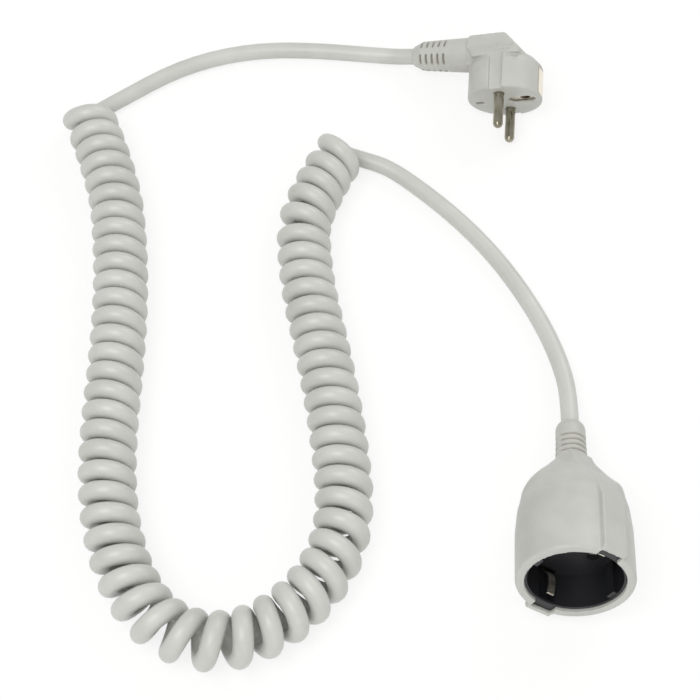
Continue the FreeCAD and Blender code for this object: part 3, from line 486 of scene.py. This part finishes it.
def coupling_shell():
    """soft PVC cover with two grip pads that run in to its grooved neck"""
    piece = moulding("coupling_cover", "moulded_coupling_cover", COUPLING_VOXEL)
    own = in_place(mesh_points(piece.data), COUPLING_PLACE)
    outside = (np.hypot(own[:, 0], own[:, 1]) > CAVITY_RADIUS) | (own[:, 2] > CAVITY_END)
    away = np.clip((own[:, 2] - RIM_END) / RIM_FADE, RIM_SOFTNESS, 1) * outside
    near_end = np.clip((NECK_END - NECK_CRISP_END - own[:, 2]) / 2, 0, 1)
    own = soften(own, mesh_edges(piece.data), away * near_end, COUPLING_ROUNDS)
    starts = [NECK_GROOVE_START + NECK_GROOVE_PITCH * place for place in range(NECK_GROOVES)]
    groove = grooves(own, NECK_GROOVE_SIDES, starts, **NECK_GROOVE_SHAPE)
    radial = np.hypot(own[:, 0], own[:, 1])
    groove *= radial > BORE_RADIUS
    deep = np.minimum(radial, NECK_RADIUS - NECK_GROOVE_DEPTH)
    own[:, :2] -= own[:, :2] * (groove * (1 - deep / np.maximum(radial, 1)))[:, None]
    finish_mesh(piece, in_row(own, COUPLING_PLACE), groove)
    return piece


def plug_shell():
    """soft PVC plug body with rows of slots in its strain relief"""
    piece = moulding("plug_body", "moulded_plug_body", PLUG_VOXEL)
    own = in_place(mesh_points(piece.data), PLUG_PLACE)
    weight = np.where(own[:, 2] > FACE_EDGE, PLUG_SOFTNESS, FACE_SOFTNESS)
    own = soften(own, mesh_edges(piece.data), weight, PLUG_ROUNDS)
    relief = in_place(in_row(own, PLUG_PLACE), RELIEF_PLACE)
    sides = [SLOT_ROW_ANGLE + 360 / SLOT_ROWS * row for row in range(SLOT_ROWS)]
    starts = [SLOT_START + SLOT_PITCH * place for place in range(SLOTS_PER_ROW)]
    groove = grooves(relief, sides, starts, **SLOT_SHAPE)
    radial = np.hypot(relief[:, 0], relief[:, 1])
    groove *= (radial > BORE_RADIUS) & (relief[:, 2] > SLOT_LIMIT)
    relief[:, :2] -= relief[:, :2] * (SLOT_DEPTH * groove / np.maximum(radial, 1))[:, None]
    finish_mesh(piece, in_row(relief, RELIEF_PLACE), groove)
    return piece


# Ribs that repeat, made by Geometry Nodes

def rib_tree(material):
    """a row of ribs along Y: each lies along X, and each next one is shorter by the taper"""
    tree = bpy.data.node_groups.new("row of grip ribs", "GeometryNodeTree")
    tree.interface.new_socket("Geometry", in_out="OUTPUT", socket_type="NodeSocketGeometry")
    for name in RIDGES:
        kind = "NodeSocketInt" if name == "Count" else "NodeSocketFloat"
        tree.interface.new_socket(name, in_out="INPUT", socket_type=kind)
    given = add_node(tree, "NodeGroupInput").outputs
    step = add_node(tree, "ShaderNodeCombineXYZ", [("X", given["Shift"]), ("Y", given["Pitch"])])
    row = add_node(tree, "GeometryNodeMeshLine",
                   [("Count", given["Count"]), ("Offset", step.outputs[0])])
    front = sum_of(tree, "MULTIPLY", given["Length"], -0.5)
    back = sum_of(tree, "MULTIPLY", given["Length"], 0.5)
    start = add_node(tree, "ShaderNodeCombineXYZ", [("X", front)])
    end = add_node(tree, "ShaderNodeCombineXYZ", [("X", back)])
    stroke = add_node(tree, "GeometryNodeCurvePrimitiveLine",
                      [("Start", start.outputs[0]), ("End", end.outputs[0])])
    section = add_node(tree, "GeometryNodeCurvePrimitiveCircle",
                       [("Radius", sum_of(tree, "MULTIPLY", given["Width"], 0.5))], Resolution=12)
    bar = add_node(tree, "GeometryNodeCurveToMesh",
                   [("Curve", stroke.outputs[0]), ("Profile Curve", section.outputs[0])],
                   Fill_Caps=True)
    place = add_node(tree, "GeometryNodeInputIndex")
    loss = sum_of(tree, "MULTIPLY", place.outputs[0], given["Taper"])
    scale = add_node(tree, "ShaderNodeCombineXYZ", [("X", sum_of(tree, "SUBTRACT", 1, loss))],
                     Y=1, Z=1)
    ribs = add_node(tree, "GeometryNodeInstanceOnPoints",
                    [("Points", row.outputs[0]), ("Instance", bar.outputs[0]),
                     ("Scale", scale.outputs[0])])
    real = add_node(tree, "GeometryNodeRealizeInstances", [("Geometry", ribs.outputs[0])])
    finish = add_node(tree, "GeometryNodeSetMaterial", [("Geometry", real.outputs[0])],
                      Material=material)
    add_node(tree, "NodeGroupOutput", [("Geometry", finish.outputs[0])])
    return tree


def rib_row(tree, name, place):
    """one row of ribs as a plain mesh, in its place on the cord set"""
    piece = in_scene(name, bpy.data.meshes.new(name))
    rows = piece.modifiers.new("ribs", "NODES")
    rows.node_group = tree
    for item in tree.interface.items_tree:
        if item.in_out == "INPUT":
            rows[item.identifier] = RIDGES[item.name]
    settle(piece)
    points = in_row(mesh_points(piece.data), place)
    piece.data.vertices.foreach_set("co", points.ravel())
    piece.data.update()
    piece.data.shade_smooth()
    return piece


def cap_ridges(material):
    """two thin ridges on each slope of the plug's grip cap"""
    tree = rib_tree(material)
    lean = math.degrees(math.atan2(SKIRT_EDGE[0] - CAP_EDGE[0], CAP_EDGE[1] - SKIRT_EDGE[1]))
    pieces = []
    for name, side in (("front_cap_ridges", -1), ("back_cap_ridges", 1)):
        edge = Matrix.Translation((RIDGES_FORWARD, side * CAP_EDGE[0], CAP_EDGE[1]))
        place = PLUG_PLACE @ edge @ turned(side * lean - 90, "X")
        place = place @ Matrix.Translation((0, RIDGES_BELOW_EDGE, 0))
        pieces.append(rib_row(tree, name, place))
    return pieces


# Materials, named for what the real surfaces are

def grained(name, colour, shade, roughness, grain, height, scale_mm, groove=None, metallic=0.0):
    """a moulded or metal surface: two close tones, uneven gloss and a fine grain, and painted shade
    in the grooves when a groove colour is given
    """
    material, tree = new_material(name)
    place = add_node(tree, "ShaderNodeTexCoord")
    cloud = add_node(tree, "ShaderNodeTexNoise", [("Vector", place.outputs["Object"])],
                     Scale=1 / (scale_mm * 40 * MM), Detail=3.0)
    grit = add_node(tree, "ShaderNodeTexNoise", [("Vector", place.outputs["Object"])],
                    Scale=1 / (scale_mm * MM), Detail=2.0)
    tone = add_node(tree, "ShaderNodeMapRange", [("Value", cloud.outputs["Fac"])],
                    From_Min=0.35, From_Max=0.65)
    colours = add_node(tree, "ShaderNodeMix", [("Factor", tone.outputs["Result"])],
                       data_type="RGBA")
    colours.inputs[6].default_value = linear(colour)
    colours.inputs[7].default_value = linear(shade)
    surface = colours.outputs[2]
    if groove:
        # Painted shade: where the groove mark is set, a darker colour is mixed into the surface to
        # stand for the shade down in grooves and slots
        mark = add_node(tree, "ShaderNodeAttribute", attribute_name="groove")
        groove_shaded = add_node(tree, "ShaderNodeMix", [("Factor", mark.outputs["Fac"]), (6, surface)],
                          data_type="RGBA")
        groove_shaded.inputs[7].default_value = linear(groove)
        surface = groove_shaded.outputs[2]
    gloss = add_node(tree, "ShaderNodeMapRange", [("Value", grit.outputs["Fac"])],
                     To_Min=roughness - grain, To_Max=roughness + grain)
    bump = add_node(tree, "ShaderNodeBump", [("Height", grit.outputs["Fac"])], Strength=height,
                    Distance=0.1 * MM)
    shader = add_node(tree, "ShaderNodeBsdfPrincipled",
                      [("Base Color", surface), ("Roughness", gloss.outputs["Result"]),
                       ("Normal", bump.outputs["Normal"])], Metallic=metallic)
    if not metallic:
        shader.inputs["IOR"].default_value = 1.53
    add_node(tree, "ShaderNodeOutputMaterial", [("Surface", shader.outputs[0])])
    return material


def dress(piece, material):
    piece.data.materials.clear()
    piece.data.materials.append(material)


camera()
line, cable_length, mouth_exit = cable()
coupling = coupling_shell()
plug = plug_shell()
studio()

# Plasticised PVC, extruded as the cable's jacket: a cool light grey-white with a soft sheen that
# draws one broad highlight along every curl
cable_pvc = grained("extruded PVC cable jacket", "#C1C1BD", "#B9B9B4", 0.36, 0.05, 0.25, 0.5)

# Soft PVC moulded over the pieces inside: a shade darker and duller than the cable, with a fine
# spark-eroded grain. Down in its grooves and slots a darker brown-grey is painted in as shade,
# standing for the shade that falls in them
moulded_pvc = grained("moulded soft PVC", "#B9B9B4", "#B2B2AD", 0.44, 0.05, 0.3, 0.35,
                      groove="#8E8980")

# Polyamide with carbon black, moulded: near black, with a faint satin grey on its edges
black_nylon = grained("moulded black polyamide", "#1D1E21", "#232326", 0.38, 0.06, 0.3, 0.3)

# Polyamide with a grey pigment, moulded: plain and dull. Of its pieces only the shutter shows,
# behind the pin holes
grey_nylon = grained("moulded grey polyamide", "#8E8F90", "#858686", 0.5, 0.05, 0.3, 0.3)

# Brass turned and nickel-plated: a warm grey mirror, slightly scratched by use
nickel = grained("nickel-plated brass", "#ABA696", "#878272", 0.16, 0.06, 0.2, 0.25, metallic=1.0)

# Phosphor bronze strip, stamped, bent and bright tinned: a pale soft sheen that catches the light
# inside the dark recess
tinned = grained("bright tinned bronze strip", "#F1EBDD", "#E4DCCB", 0.34, 0.06, 0.2, 0.25,
                 metallic=1.0)

# Brass strip, stamped and bent: yellow, with a soft sheen from rolling
brass = grained("stamped brass strip", "#C9A45C", "#B8924C", 0.33, 0.08, 0.2, 0.25, metallic=1.0)

# Steel, zinc-plated: a cool pale grey with an uneven sheen
steel = grained("zinc-plated steel", "#B9BCC0", "#A5A8AC", 0.32, 0.08, 0.2, 0.25, metallic=1.0)

# Thin PVC insulation, extruded on each core: an even coloured skin with a slight shine
brown_core = grained("brown PVC core insulation", "#6B4226", "#613A20", 0.45, 0.05, 0.2, 0.3)
blue_core = grained("blue PVC core insulation", "#2E64A8", "#295B9B", 0.45, 0.05, 0.2, 0.3)
earth_core = grained("green and yellow PVC core insulation", "#E1D037", "#3F8F4C", 0.45, 0.05, 0.2,
                     0.08)

finishes = {
    "socket_insert": black_nylon, "contact_carrier": grey_nylon, "pin_carrier": grey_nylon,
    "shutter": grey_nylon, "live_contact": brass, "neutral_contact": brass, "earth_socket": brass,
    "live_pin": nickel, "neutral_pin": nickel, "earth_strip": tinned, "earth_bracket": tinned,
    "coupling_clamp": steel, "plug_clamp": steel, "shutter_spring": steel,
    "coupling_cable_end": cable_pvc, "plug_cable_end": cable_pvc,
    "coupling_live_core": brown_core, "plug_live_core": brown_core,
    "coupling_neutral_core": blue_core, "plug_neutral_core": blue_core,
    "coupling_earth_core": earth_core, "plug_earth_core": earth_core,
}
for name, finish in finishes.items():
    dress(nodes[name], finish)
dress(coupling, moulded_pvc)
dress(plug, moulded_pvc)
ridges = cap_ridges(moulded_pvc)
dress(line, cable_pvc)

# What rides on what

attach(coupling, "cord_set")
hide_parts("coupling_cover")
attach(plug, "cord_set")
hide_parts("plug_body")
for ridge in ridges:
    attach(ridge, "cord_set")
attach(line, "cord_set")
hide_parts("curly_cord", "coupling_lead", "plug_lead")
